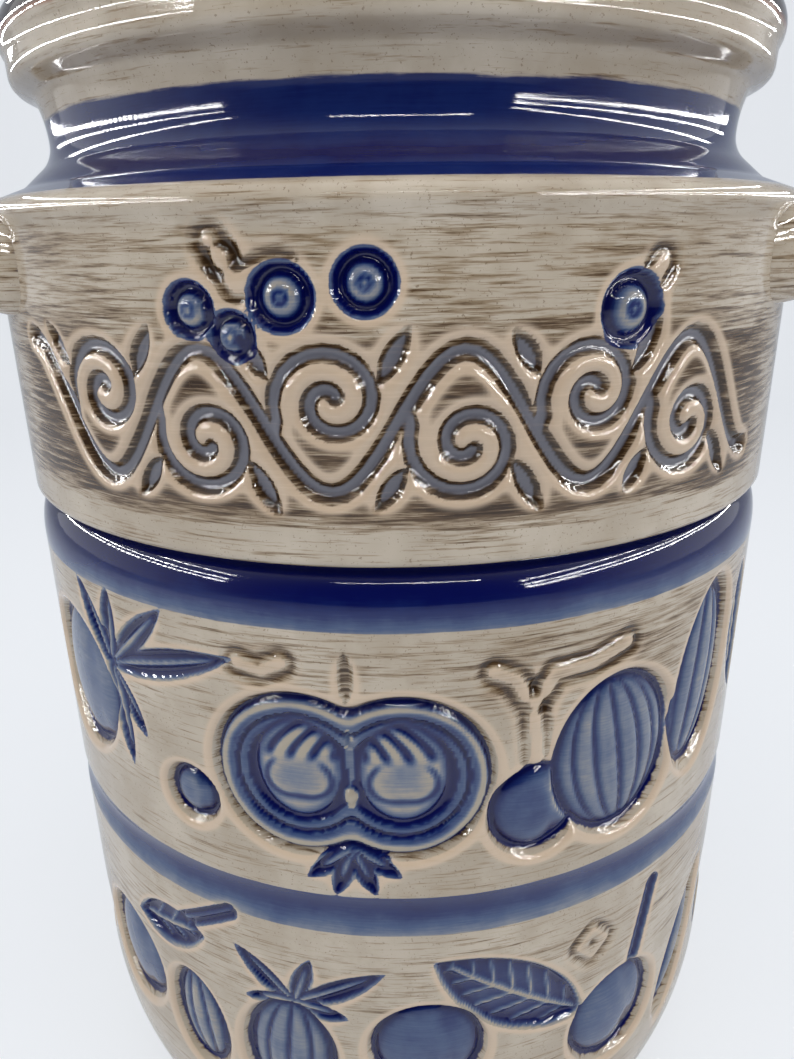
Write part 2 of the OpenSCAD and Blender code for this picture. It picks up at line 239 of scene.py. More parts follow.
def wall_step(height):
    """Rows lie close together where the wall is pressed"""
    if 40 < height < 168 or 184 < height < 230:
        return FINE_STEP
    return MIDDLE_STEP if height > 90 else COARSE_STEP


outside = stepped(outside_line, wall_step)
COLUMNS = 900
turns = -math.pi / 2 + np.arange(COLUMNS) * 2 * math.pi / COLUMNS

# POT WALL: relief
# Both halves of the mould press the same fruit into the wall: beds with sloping sides, fruit that
# swells out of them, leaves with ribs left standing, and a scroll of vine round the top band.
HALF_ROUND = math.pi * WALL
DEGREE = HALF_ROUND / 180
wall_rows = np.where((outside[:, 1] > 8) & (outside[:, 1] < 236) & (np.arange(len(outside)) > 10))[0]
S, Z = np.meshgrid(turns[:COLUMNS // 2] * WALL, outside[wall_rows, 1])
depth, blue, thick = np.zeros_like(S), np.zeros_like(S), np.zeros_like(S)
valley, wash = np.zeros_like(S), np.zeros_like(S)


def smooth(x):
    x = np.clip(x, 0, 1)
    return x * x * (3 - 2 * x)


def seen_from(turn, height, lean=0.0):
    """Distance to the right and up on the wall from a fruit's middle, turned by its lean"""
    x = (S - turn * DEGREE + HALF_ROUND / 2) % HALF_ROUND - HALF_ROUND / 2
    y = Z - height
    a = math.radians(lean)
    return x * math.cos(a) - y * math.sin(a), x * math.sin(a) + y * math.cos(a)


def press(inside, deep, slope):
    """Bed that falls to a depth over a sloping side; inside is the distance in from its edge"""
    np.maximum(depth, deep * smooth(inside / slope), out=depth)


def stand(inside, surface, slope=0.7):
    """Something left standing in a bed, with its skin at the given depth"""
    share = smooth(inside / slope)
    depth[:] = depth + (surface - depth) * share


def paint(inside, strength):
    """Cobalt brushed over what is pressed"""
    np.maximum(blue, smooth((inside + 0.9) / 1.4), out=blue)
    thick[:] = np.where(inside > -0.9, strength, thick)


def blade(x, y, wide, high):
    """Distance in from the edge of a pointed oval"""
    r = (wide * wide + high * high) / (4 * wide)
    return np.minimum(r - np.hypot(x - r + wide / 2, y), r - np.hypot(x + r - wide / 2, y))


def to_line(points):
    """Distance from every point of the wall to a line drawn on it"""
    near = np.full_like(S, 1e3)
    for (x1, z1), (x2, z2) in zip(points, points[1:]):
        rows = slice(np.searchsorted(outside[wall_rows, 1], min(z1, z2) - 6),
                     np.searchsorted(outside[wall_rows, 1], max(z1, z2) + 6))
        x = (S[rows] - x1 + HALF_ROUND / 2) % HALF_ROUND - HALF_ROUND / 2
        z = Z[rows] - z1
        dx, dz = x2 - x1, z2 - z1
        t = np.clip((x * dx + z * dz) / (dx * dx + dz * dz), 0, 1)
        np.minimum(near[rows], np.hypot(x - t * dx, z - t * dz), out=near[rows])
    return near


LOW, MID = 60.0, 137.5
BED, SKIN, BED_EDGE, BED_SIDE, BARE_EDGE = 3.2, 0.35, 1.2, 2.4, 0.4
LEAF_BED, SEPAL_BED, BERRY_BED, APPLE_BED, VEIN_STEP = 1.9, 1.7, 2.4, 3.0, 5.5


def round_fruit(turn, height, r, strength=0.5):
    x, y = seen_from(turn, height)
    off = np.hypot(x, y)
    press(r + BED_EDGE - off, BED, BED_SIDE)
    paint(r - BARE_EDGE - off, strength)
    body = r - 0.8
    dome = 1 - np.sqrt(np.clip(1 - (off / body) ** 2, 0, 1))
    cheek = 0.35 * np.exp(-((x - 0.35 * r) / (0.2 * r)) ** 2) * smooth((off / body - 0.2) / 0.5)
    stand(body - off, SKIN + (BED - SKIN) * dome + cheek)


def ribbed_fruit(turn, height, wide, high, lean, ribs, strength=0.5):
    x, y = seen_from(turn, height, lean)
    off = np.hypot(x / (wide / 2), y / (high / 2))
    press((1 - off) * wide / 2 + BED_EDGE, BED, BED_SIDE)
    paint((1 - off) * wide / 2 - BARE_EDGE, strength)
    a, b = wide / 2 - 0.8, high / 2 - 0.8
    off = np.hypot(x / a, y / b)
    reach = a * np.sqrt(np.clip(1 - (y / b) ** 2, 1e-4, 1))
    share = np.arcsin(np.clip(x / reach, -1, 1)) / math.pi + 0.5
    furrow = (1 - np.abs(np.sin(math.pi * ribs * share))) ** 2.2
    dome = 1 - np.sqrt(np.clip(1 - off ** 2, 0, 1))
    stand((1 - off) * a, SKIN + (BED - SKIN) * dome + 1.1 * furrow * smooth((1 - off) * 4))


def leaf(turn, height, wide, high, lean, strength=0.55):
    x, y = seen_from(turn, height, lean)
    inside = blade(x, y, wide + 1.6, high + 2)
    press(inside, LEAF_BED, 1.3)
    paint(inside, strength)
    middle = 1.1 * np.exp(-(x / 0.7) ** 2) * smooth((high / 2 - y) / 6)
    step = (y - 0.9 * np.abs(x)) / VEIN_STEP
    side = 0.8 * np.exp(-((step - np.round(step)) * VEIN_STEP / 0.55) ** 2) * smooth(inside / 1.5)
    stand(inside - 1.0, LEAF_BED - np.maximum(middle, side) - 0.35 * smooth(inside / (wide / 2)))


def sepal(turn, height, lean, long, strength=0.62):
    x, y = seen_from(turn, height, lean)
    wide = long * 0.1 + 3.4
    inside = blade(x, y - long / 2, wide, long + 3)
    press(inside, SEPAL_BED, 1.0)
    paint(inside, strength)
    stand(inside - 0.5, SEPAL_BED - 1.25 * np.exp(-(x / 0.8) ** 2) * smooth((long - y) / 4))


def stalk(turn, height, wide, long, lean):
    x, y = seen_from(turn, height, lean)
    inside = wide / 2 - np.hypot(x, np.maximum(np.abs(y) - long / 2, 0))
    press(inside + 0.5, SEPAL_BED, 1.0)
    paint(inside + 0.4, 0.7)
    stand(inside - 0.4, SEPAL_BED - np.exp(-(x / 0.9) ** 2))


def berry(turn, height, r):
    x, y = seen_from(turn, height)
    off = np.hypot(x, y)
    press(r + 0.9 - off, BERRY_BED, 1.1)
    paint(r + 0.9 - off, 0.95)
    ball = r - 0.7
    stand(ball - off, -0.45 + ball * (1 - np.sqrt(np.clip(1 - (off / ball) ** 2, 0, 1))) * 0.95, 0.3)
    thick[:] = np.where(off < ball * 0.85, 0.72, thick)
    navel = np.exp(-((off - 1.0) / 0.45) ** 2)
    depth[:] += 0.4 * navel
    thick[:] = np.where(off < 3, thick + 0.45 * navel - 0.3 * np.exp(-(off / 0.5) ** 2), thick)


def twig(points, high=0.9, wide=1.0):
    near = to_line(points)
    ditch = 0.9 * np.exp(-((near - 2.3) / 1.0) ** 2)
    ridge = high * np.exp(-(near / wide) ** 2)
    depth[:] = np.where((near < 6) & (blue < 0.5), depth + ditch - ridge, depth)
    wash[:] = np.where(near < 6, wash + 0.35 * np.exp(-((near - 2.6) / 1.2) ** 2), wash)


for turn, height, r, strength in (
        (-52.7, MID + 1, 17, 0.45), (-28.2, MID - 13, 6.5, 0.6), (17, MID - 13, 10.5, 0.7),
        (72, MID - 12, 9, 0.5), (92, MID - 5, 15, 0.5), (110, MID - 13, 8, 0.5),
        (-49, LOW + 2, 14, 0.55), (3, LOW + 4, 13, 0.62), (33, LOW - 3, 13.5, 0.55),
        (76, LOW + 1, 13, 0.5), (113, LOW - 2, 10, 0.5)):
    round_fruit(turn, height, r, strength)
for turn, height, wide, high, lean, ribs in (
        (28.9, MID - 5.5, 32, 38, -10, 8), (46, MID + 3, 22, 44, 8, 5), (-32.6, LOW - 3, 17, 28, -8, 5),
        (-17, LOW - 2, 23, 32, 4, 6), (50.5, LOW, 13, 40, 24, 3), (95, LOW - 3, 20, 32, 10, 5)):
    ribbed_fruit(turn, height, wide, high, lean, ribs)
for turn, height, wide, high, lean in (
        (60, MID + 6, 14, 34, -8), (80, MID + 14, 11, 26, 62), (105, MID + 13, 11, 26, -58),
        (-36.5, LOW + 23, 10, 22, 78), (15, LOW + 17, 16, 42, -55), (64, LOW + 6, 12, 32, 14),
        (86, LOW + 22, 10, 26, 60), (106, LOW + 18, 10, 26, -60)):
    leaf(turn, height, wide, high, lean)
for turn, height, sepals in (
        (-41.4, MID + 11, ((-28, 18), (8, 17), (48, 24), (74, 34), (144, 16), (170, 22))),
        (-15.5, LOW + 15, ((-46, 17), (18, 13), (60, 22), (-95, 10), (98, 11)))):
    for lean, long in sepals:
        sepal(turn, height, lean, long)
stalk(-28.5, LOW + 32, 3.4, 16, 58)
stalk(37, LOW + 22, 3.2, 20, 12)
for turn, height, r in ((-20.9, 220, 3.8), (-16.4, 216, 3.4), (-11, 222, 4.6), (-2.8, 224, 4.3),
                        (24.8, 219, 5.4)):
    berry(turn, height, r)

# The halved apple: a raised skin round two cut faces, with the core between them
APPLE, APPLE_HIGH, LOBE, LOBE_OFF, LOBES_MELT = -6.3, MID - 3, 18.0, 10.0, 2.5
FACE_OFF, FACE_WIDE, FACE_HIGH = 10.3, 9.0, 11.6
x, y = seen_from(APPLE, APPLE_HIGH)


def lobed(r):
    """Distance in from the edge of two lobes that melt into one"""
    a = r - np.hypot(x - LOBE_OFF, y)
    b = r - np.hypot(x + LOBE_OFF, y)
    h = np.clip(0.5 + 0.5 * (a - b) / LOBES_MELT, 0, 1)
    return b * (1 - h) + a * h + LOBES_MELT * h * (1 - h)


rim = lobed(LOBE + 1.2)
press(rim, APPLE_BED, BED_SIDE)
paint(lobed(LOBE - 0.6), 0.78)
skin = lobed(LOBE - 0.7)
stand(skin, 0.5 + 0.5 * smooth(np.abs(skin - 1.5) / 1.7), 0.8)
thick[:] = np.where(skin > 0, thick + 0.2 * np.exp(-((skin - 0.2) / 0.6) ** 2)
                    - 0.3 * np.exp(-((skin - 1.8) / 0.8) ** 2), thick)
press(skin - 3.4, APPLE_BED - 0.3, 0.8)
second = lobed(LOBE - 4.8)
stand(second, 1.3 + 0.3 * smooth(np.abs(second - 0.9)), 0.6)
press(second - 1.7, APPLE_BED - 0.3, 0.8)
for side in (-1, 1):
    fx, fy = (x - side * FACE_OFF) * side, y - 1.2
    off = np.hypot(fx / FACE_WIDE, fy / FACE_HIGH)
    face = 0.9 + 1.3 * off ** 3
    strokes = np.abs(np.sin((fx * 0.62 + 0.05 * (fy - 1) ** 2) * 1.15 + 0.4)) ** 4
    strokes = strokes * smooth((fy - 1.5) / 3) * smooth((0.97 - off) / 0.15)
    wavy = off - 0.66 + 0.12 * np.sin(3 * np.arctan2(fy, fx))
    furrow = np.exp(-(wavy / 0.07) ** 2) * smooth((3 - fy) / 3)
    cut = (1 - off) * FACE_WIDE
    stand(cut, face + 0.9 * strokes + 0.5 * furrow, 0.8)
    tone = 0.30 + 0.45 * strokes + 0.3 * furrow + 0.35 * smooth((off - 0.72) / 0.2)
    thick[:] = np.where(cut > 0.5, tone, thick)
core = blade(x, y - 4, 2.2, 17)
press(core, 2.4, 0.5)
seed = 1.5 - np.hypot(x, (y + 4.5) / 1.25)
stand(seed, 0.9, 0.6)
thick[:] = np.where((seed > -0.2) | (core > 0.2), 0.0, thick)
notch = blade(x, y - LOBE - 4.0, 3.4, 13)
press(notch, 1.3, 0.9)
for lean in (-58, -24, 18, 52):
    sepal(APPLE, APPLE_HIGH - LOBE + 2, 180 + lean, 10, 0.8)

# Bare twigs between the fruit, and the small ring on the lowest band
twig([(17, 157), (21, 155), (25, 148), (26, 137)])
twig([(26, 150), (29, 155), (37, 155.5), (45, 158)])
twig([(-30.5, 158), (-26, 157), (-22, 159)], 0.5)
twig([(-27, 227.5), (-24.5, 224), (-20, 225.5), (-17.5, 226)], 0.9, 0.9)
twig([(-27, 228), (-28.5, 230)], 0.8, 0.8)
twig([(42, 222), (45, 226)], 0.8, 0.9)
twig([(43, 84 + 3.2), (46.2, 84), (43, 80.8), (39.8, 84), (43, 87.2)], 0.7, 0.9)

# The scroll: one long wave with a curl in every bay and a leaf beside each curl
SCROLL_MID, SCROLL_HIGH, WAVE, SCROLL_ENDS = 202.5, 11.5, 44.0, 77.0
LINE_WIDE, LINE_DEEP, CURL_WIDE, CURL_DEEP, CURL_RADIUS, CURL_END = 2.1, 1.9, 1.6, 1.7, 8.6, 1.4


def cut_line(near, wide, deep):
    groove = deep * (1 - smooth((near - 0.5) / wide))
    lip = 0.28 * np.exp(-((near - wide - 1.0) / 0.6) ** 2)
    np.maximum(depth, np.where(near < wide + 3, groove, 0), out=depth)
    depth[:] -= np.where(depth < 0.2, lip, 0)
    np.maximum(valley, 1 - smooth((near - 0.4) / 1.0), out=valley)


def wave_at(s):
    return SCROLL_MID + SCROLL_HIGH * math.sin(2 * math.pi * s / WAVE)


cut_line(to_line([(s, wave_at(s)) for s in np.arange(-SCROLL_ENDS, SCROLL_ENDS + 1, 2.0)]),
         LINE_WIDE, LINE_DEEP)
for bay in range(-3, 4):
    middle = (bay + 0.5) * WAVE / 2
    above = 1 if math.sin(2 * math.pi * middle / WAVE) < 0 else -1
    if abs(middle) > SCROLL_ENDS - 8:
        continue
    start = (middle - 9.5, wave_at(middle - 9.5))
    hub = (middle + 0.5, SCROLL_MID + above * 3.5)
    curl = []
    for t in np.linspace(0, 1, 30):
        r = CURL_RADIUS * (1 - t) + CURL_END
        a = math.radians(200 - 500 * t)
        curl.append((hub[0] + r * math.cos(a), hub[1] + above * r * math.sin(a) * 0.95))
    cut_line(to_line([start] + curl), CURL_WIDE, CURL_DEEP)
    for shift, lean, long in ((10.5, 30, 12), (-12.0, -35, 10)):
        lx, ly = seen_from((middle + shift) / DEGREE, SCROLL_MID + above * 10.5, lean * above)
        inside = blade(lx, ly, 4.6, long)
        press(inside, 1.6, 1.2)
        np.maximum(valley, smooth((inside - 0.8) / 0.8), out=valley)

# Where the cobalt bands lie, and where the brown wash was brushed on
for low, high, strength in ((GROOVE - 0.6, GROOVE + GROOVE_HIGH - 0.4, 0.8),
                            (ROLL - 1.2, TOP_BAND - 0.3, 1.15)):
    band = smooth((Z - low + 0.8) / 1.6) * smooth((high - Z + 0.5) / 1.0)
    np.maximum(blue, band, out=blue)
    thick[:] = np.where(band > 0.05, strength * smooth(0.35 + 0.65 * (Z - low) / (high - low) * 1.3), thick)
front = np.abs(S)
wash[:] += 0.2 + 0.1 * np.sin(S / 9) * np.sin(Z / 13)
round_scroll = smooth((Z - 183) / 5) * (0.35 + 0.65 * smooth((224 - Z) / 16)) * smooth((240 - Z) / 12)
wash[:] += round_scroll * (0.45 + 0.55 * smooth((88 - front) / 14))
wash[:] += 0.42 * smooth((Z - 138) / 14) * smooth((168 - Z) / 6) * (0.5 + 0.5 * smooth((S - 8) / 14))
wash[:] += 0.18 * smooth((Z - 68) / 12) * smooth((96 - Z) / 8)


def softened(field, reach):
    """Mean over a square of the wall, twice, so that it falls off softly"""
    for _ in range(2):
        for axis in (0, 1):
            total = sum(np.roll(field, k, axis) for k in range(-reach, reach + 1))
            field = total / (2 * reach + 1)
    return field


near_mean = softened(depth, 2)
hollow = np.clip((depth - near_mean) / 0.55, -1, 1)
hollow += 0.5 * np.clip(near_mean - softened(depth, 6), -0.2, 1)
depth = softened(depth, 1) * 0.35 + depth * 0.65

# POT WALL: surface
# One closed skin: under the foot, up the outside, over the lip and down the inside.
INSIDE_COLUMNS = 150


def ring(count, radii, height):
    """Points round the axis, starting at the front; radii is one number or one for each point"""
    around = -math.pi / 2 + np.arange(count) * 2 * math.pi / count
    return np.stack([radii * np.sin(around), -radii * np.cos(around), np.full(count, height)], 1) * MM


def strip(lower, upper):
    """Faces between two rings; one may have a few times the points of the other, or be one point"""
    n, m = len(lower), len(upper)
    if m == 1:
        return [(lower[i], lower[(i + 1) % n], upper[0]) for i in range(n)]
    if n == 1:
        return [(lower[0], upper[(i + 1) % m], upper[i]) for i in range(m)]
    if n >= m:
        k = n // m
        return [tuple(lower[(k * i + j) % n] for j in range(k + 1)) + (upper[(i + 1) % m], upper[i])
                for i in range(m)]
    k = m // n
    return [(lower[i], lower[(i + 1) % n]) + tuple(upper[(k * (i + 1) - j) % m] for j in range(k + 1))
            for i in range(n)]


def turned_skin(name, rings, shares):
    """Mesh of rings from one pole to the other, with a map that unrolls it"""
    points, faces, places, before = [], [], [], None
    for pts, share in zip(rings, shares):
        here = range(len(points), len(points) + len(pts))
        points += [tuple(p) for p in pts]
        places += [(i / len(pts) if len(pts) > 1 else 0.5, share) for i in range(len(pts))]
        if before is not None:
            faces += strip(before, here)
        before = here
    mesh = bpy.data.meshes.new(name)
    mesh.from_pydata(points, [], faces)
    mesh.update()
    mesh.polygons.foreach_set("use_smooth", np.ones(len(mesh.polygons), bool))
    corner_point = np.empty(len(mesh.loops), np.int32)
    mesh.loops.foreach_get("vertex_index", corner_point)
    first = np.empty(len(mesh.polygons), np.int32)
    count = np.empty(len(mesh.polygons), np.int32)
    mesh.polygons.foreach_get("loop_start", first)
    mesh.polygons.foreach_get("loop_total", count)
    uv = np.array(places)[corner_point]
    face = np.repeat(np.arange(len(first)), count)
    widest = np.maximum.reduceat(uv[:, 0], first) - np.minimum.reduceat(uv[:, 0], first)
    uv[:, 0] += (widest[face] > 0.5) & (uv[:, 0] < 0.5)
    mesh.uv_layers.new(name="OFBake").uv.foreach_set("vector", uv.astype(np.float32).ravel())
    return mesh


def add_number(mesh, name, values):
    layer = mesh.attributes.new(name, "FLOAT", "POINT")
    layer.data.foreach_set("value", np.asarray(values, np.float32).ravel())


def whole(field):
    """Both halves of the mould side by side, in the order of the columns"""
    return np.concatenate([field, field], 1)


radii = np.repeat(outside[:, :1], COLUMNS, 1)
radii[wall_rows] -= whole(depth)
base = stepped(base_line, lambda height: 4.0)[:-1]
inside = stepped(inside_line, lambda height: 3.0 if height < LAND - 6 else 1.2)
rings = [ring(1, 0.0, base[0, 1])]
rings += [ring(INSIDE_COLUMNS, r, z) for r, z in base[1:]]
rings += [ring(COLUMNS, row, z) for row, z in zip(radii, outside[:, 1])]
rings += [ring(INSIDE_COLUMNS, r, z) for r, z in inside[:-1]]
rings += [ring(1, 0.0, inside[-1, 1])]
BASE_SHARE, OUTSIDE_SHARE = 0.04, 0.84
climb = np.concatenate([[0], np.cumsum(np.hypot(*np.diff(outside, axis=0).T))])
shares = list(np.linspace(0, BASE_SHARE, len(base), endpoint=False))
shares += list(BASE_SHARE + (OUTSIDE_SHARE - BASE_SHARE) * climb / climb[-1])
shares += list(np.linspace(OUTSIDE_SHARE, 1, len(inside) + 1)[1:])
pot_mesh = turned_skin("pot_wall", rings, shares)

ahead_rows = 1 + (len(base) - 1) * INSIDE_COLUMNS
behind_rows = len(pot_mesh.vertices) - ahead_rows - len(outside) * COLUMNS
height_row = outside[:, 1:] * np.ones((1, COLUMNS))
marks = {}
for key, field in (("blue", blue), ("thick", thick), ("hollow", hollow), ("wash", wash),
                   ("valley", valley)):
    marks[key] = np.zeros((len(outside), COLUMNS))
    marks[key][wall_rows] = whole(field)
neck = smooth((height_row - 238.3) / 0.7) * smooth((255.4 - height_row) / 4.0)
marks["blue"] = np.maximum(marks["blue"], neck)
foot_line = 0.35 * np.exp(-((height_row - NECK_FOOT) / 0.8) ** 2)
marks["thick"] = np.where(neck > 0.02, 0.86 + foot_line, marks["thick"])
marks["wash"] = np.where(height_row >= 236, 0.12, marks["wash"])
marks["lip"] = smooth((height_row - 265.6) / 3.2)
crease = smooth((height_row - 175.2) / 0.9) * smooth((178.6 - height_row) / 0.7)
marks["hollow"] = marks["hollow"] + 0.7 * crease
for key, field in marks.items():
    lip_inside = np.full(behind_rows, 1.0 if key == "lip" else 0.0)
    add_number(pot_mesh, key, np.concatenate([np.zeros(ahead_rows), field.ravel(), lip_inside]))


# GLAZE
# Warm grey-beige glaze over a buff body, with a brown wash left in the brush marks and hollows.
# Cobalt is brushed on and pools dark in every furrow, and a dark brown glaze runs over the lip.
def shade(red, green, blue_part):
    """Colour from its values on a screen, 0 to 255"""
    return tuple(((c / 255 + 0.055) / 1.055) ** 2.4 for c in (red, green, blue_part)) + (1.0,)


BEIGE_DARK, BEIGE_PALE, BEIGE_THIN = shade(176, 163, 145), shade(194, 182, 165), shade(164, 149, 128)
WASH_THIN, WASH_BROWN, WASH_THICK = shade(124, 98, 62), shade(72, 48, 22), shade(38, 22, 8)
SPECK, BARE_RIDGE, CUT_VALLEY = shade(96, 72, 44), shade(206, 184, 160), shade(124, 126, 138)
COBALT_NONE, COBALT_THIN, COBALT_MILD = shade(166, 156, 140), shade(112, 120, 136), shade(64, 82, 118)
COBALT_FULL, COBALT_POOL = shade(22, 38, 92), shade(5, 12, 74)
LIP_RUST, LIP_BROWN = shade(138, 78, 46), shade(42, 24, 16)
GLAZE_IOR, BUMP_SHARE, BUMP_HIGH = 1.52, 0.14, 0.0003


def glaze(name, shift):
    """Glazes of one firing; shift moves the clouds and strokes, so that no two pieces match"""
    material = bpy.data.materials.new(name)
    material.use_nodes = True
    tree = material.node_tree
    shader = tree.nodes["Principled BSDF"]

    def put(kind, given, output=0, **settings):
        return node(tree, kind, given, output, **settings)

    def number(key):
        return put("Attribute", {}, "Fac", attribute_name=key)

    place = put("TexCoord", {}, "Object")

    def noise(across_scale, up_scale, detail=3.0, rough=0.55, move=0.0):
        spot = put("Mapping", {"Vector": place, "Location": (shift + move, move, shift),
                               "Scale": (across_scale, across_scale, up_scale)})
        return put("TexNoise", {"Vector": spot, "Scale": 1.0, "Detail": detail, "Roughness": rough})

    def maths(operation, a, b=0.0):
        return put("Math", {0: a, 1: b}, operation=operation)

    def ramp(value, low, high, to_low=0.0, to_high=1.0):
        return put("MapRange", {"Value": value, "From Min": low, "From Max": high,
                                "To Min": to_low, "To Max": to_high}, interpolation_type="SMOOTHSTEP")

    def mix(share, a, b):
        return put("Mix", {0: share, 6: a, 7: b}, 2, data_type="RGBA")

    cloud = noise(38, 38)
    soft = noise(95, 95, 4.0, 0.6, 3.1)
    brush = noise(62, 1250, 5.0, 0.62, 1.7)
    fine_brush = noise(150, 3200, 3.0, 0.6, 5.2)
    grain = noise(1900, 1900, 2.0, 0.6, 7.7)
    hollow_mark, wash_mark, valley_mark = number("hollow"), number("wash"), number("valley")

    beige = mix(ramp(cloud, 0.35, 0.65), BEIGE_DARK, BEIGE_PALE)
    beige = mix(ramp(soft, 0.42, 0.7, 0.0, 0.5), beige, BEIGE_THIN)
    marks_of_brush = maths("ADD", maths("MULTIPLY", brush, 0.62), maths("MULTIPLY", fine_brush, 0.38))
    load = maths("ADD", marks_of_brush, maths("MULTIPLY", wash_mark, 0.2))
    load = maths("ADD", load, maths("MULTIPLY", maths("MAXIMUM", hollow_mark, 0.0), 0.10))
    beige = mix(ramp(load, 0.57, 0.66, 0.0, 0.62), beige, WASH_THIN)
    beige = mix(ramp(load, 0.645, 0.74, 0.0, 0.85), beige, WASH_BROWN)
    beige = mix(ramp(load, 0.73, 0.82, 0.0, 0.8), beige, WASH_THICK)
    beige = mix(ramp(grain, 0.64, 0.70, 0.0, 0.5), beige, SPECK)
    ridge = maths("MULTIPLY", hollow_mark, -1.0)
    beige = mix(ramp(ridge, 0.14, 0.6, 0.0, 0.85), beige, BARE_RIDGE)
    beige = mix(maths("MULTIPLY", ramp(valley_mark, 0.35, 0.95), 0.7), beige, CUT_VALLEY)

    pool = maths("ADD", number("thick"), maths("MULTIPLY", hollow_mark, 0.55))
    pool = maths("ADD", pool, maths("MULTIPLY", maths("SUBTRACT", soft, 0.5), 0.55))
    pool = maths("ADD", pool, maths("MULTIPLY", maths("SUBTRACT", fine_brush, 0.5), 0.25))
    cobalt = mix(ramp(pool, 0.0, 0.28), COBALT_NONE, COBALT_THIN)
    cobalt = mix(ramp(pool, 0.2, 0.5), cobalt, COBALT_MILD)
    cobalt = mix(ramp(pool, 0.44, 0.78), cobalt, COBALT_FULL)
    cobalt = mix(ramp(pool, 0.72, 1.1), cobalt, COBALT_POOL)
    edge = maths("ADD", number("blue"), maths("MULTIPLY", maths("SUBTRACT", brush, 0.5), 0.55))
    edge = maths("ADD", edge, maths("MULTIPLY", maths("SUBTRACT", soft, 0.5), 0.3))
    colour = mix(ramp(edge, 0.38, 0.62), beige, cobalt)

    lip_mark = maths("ADD", number("lip"), maths("MULTIPLY", maths("SUBTRACT", soft, 0.5), 0.5))
    colour = mix(ramp(lip_mark, 0.15, 0.5, 0.0, 0.8), colour, LIP_RUST)
    colour = mix(ramp(lip_mark, 0.4, 0.85), colour, LIP_BROWN)
    tree.links.new(colour, shader.inputs["Base Color"])

    tree.links.new(ramp(soft, 0.3, 0.75, 0.035, 0.10), shader.inputs["Roughness"])
    shader.inputs["IOR"].default_value = GLAZE_IOR
    tree.links.new(put("Bump", {"Height": maths("ADD", maths("MULTIPLY", soft, 0.6),
                                                maths("MULTIPLY", brush, 0.25)),
                                "Strength": BUMP_SHARE, "Distance": BUMP_HIGH}), shader.inputs["Normal"])
    return material


def place_piece(mesh, material, body, node):
    mesh.materials.append(material)
    piece = bpy.data.objects.new(mesh.name, mesh)
    bpy.context.scene.collection.objects.link(piece)
    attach(piece, body)
    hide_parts(node)


place_piece(pot_mesh, glaze("wall_glaze", 0.0), "pot", "pot_body")

# HANDLES
# Two lugs pulled from a roll of clay, bent into a bow and luted to short roots on the top band.
# The glaze runs together where they meet the wall, and cobalt stays in the joint.
BOW_MIDDLE, BOW_RADIUS, BOW_HALF, ROOT_SWEEP, BOW_HEIGHT = 61.2, 51.1, 61.7, 34.0, 226.5
GRIP_WIDE, GRIP_HIGH, WALL_GRIP = 12.0, 16.0, 87.6
GRIP_SIDES, GRIP_STEPS, ROOT_STEPS, SQUARENESS = 40, 60, 24, 0.8


def grip_swell(a):
    return 0.5 * math.cos(math.radians(a * 1.4)) - 0.4


def root_swell(a):
    return 0.9 + 1.5 * smooth(np.array((abs(a) - BOW_HALF - 3) / 16.0))


def bowed_tube(start, end, grown, steps, mirrored):
    """Rings of a flat-sided tube along the bow from one angle to another, in degrees"""
    section = np.linspace(0, 2 * math.pi, GRIP_SIDES + 1)[:-1]
    flat_x = np.sign(np.cos(section)) * np.abs(np.cos(section)) ** SQUARENESS
    flat_z = np.sign(np.sin(section)) * np.abs(np.sin(section)) ** SQUARENESS
    tube = []
    for a in np.radians(np.linspace(start, end, steps)):
        more = grown(math.degrees(a))
        along_r = BOW_RADIUS + flat_x * (GRIP_WIDE / 2 + more)
        up_z = BOW_HEIGHT + flat_z * (GRIP_HIGH / 2 + more)
        p = np.stack([BOW_MIDDLE + along_r * math.cos(a), along_r * math.sin(a), up_z], 1)
        from_axis = np.hypot(p[:, 0], p[:, 1])
        p[:, :2] *= (np.maximum(from_axis, WALL_GRIP) / from_axis)[:, None]
        tube.append(p * (mirrored, mirrored, 1) * MM)
    return tube


def closed_tube(name, tube):
    count = len(tube[0])
    points = [tuple(p) for row in tube for p in row]
    faces = [(k + i, k + count + i, k + count + (i + 1) % count, k + (i + 1) % count)
             for k in range(0, len(points) - count, count) for i in range(count)]
    faces += [tuple(range(count)), tuple(reversed(range(len(points) - count, len(points))))]
    mesh = bpy.data.meshes.new(name)
    mesh.from_pydata(points, [], faces)
    mesh.update()
    mesh.polygons.foreach_set("use_smooth", np.ones(len(mesh.polygons), bool))
    return mesh


handle_glaze = glaze("handle_glaze", 4.0)
for side, mirrored in (("right", 1), ("left", -1)):
    mesh = closed_tube("grip_" + side, bowed_tube(-BOW_HALF, BOW_HALF, grip_swell, GRIP_STEPS, mirrored))
    near_end = np.abs(np.repeat(np.linspace(-1, 1, GRIP_STEPS), GRIP_SIDES))
    add_number(mesh, "blue", 0.55 * smooth((near_end - 0.9) / 0.1))
    add_number(mesh, "thick", 0.35 + 0.4 * smooth((near_end - 0.9) / 0.1))
    add_number(mesh, "wash", 0.35 + 0.5 * near_end)
    place_piece(mesh, handle_glaze, "pot", "handle_" + side)
    for end, sign in (("front", -1), ("back", 1)):
        root = bowed_tube(sign * (BOW_HALF - 0.5), sign * (BOW_HALF + ROOT_SWEEP), root_swell, ROOT_STEPS,
                          mirrored)
        mesh = closed_tube("root_" + side + "_" + end, root[::sign])
        share = np.repeat(np.linspace(0, 1, ROOT_STEPS)[::sign], GRIP_SIDES)
        add_number(mesh, "blue", 0.62 * smooth((share - 0.42) / 0.3))
        add_number(mesh, "thick", 0.25 + 0.4 * smooth((share - 0.3) / 0.4))
        add_number(mesh, "wash", np.full(len(share), 0.5))
        place_piece(mesh, handle_glaze, "pot", "pot_body")

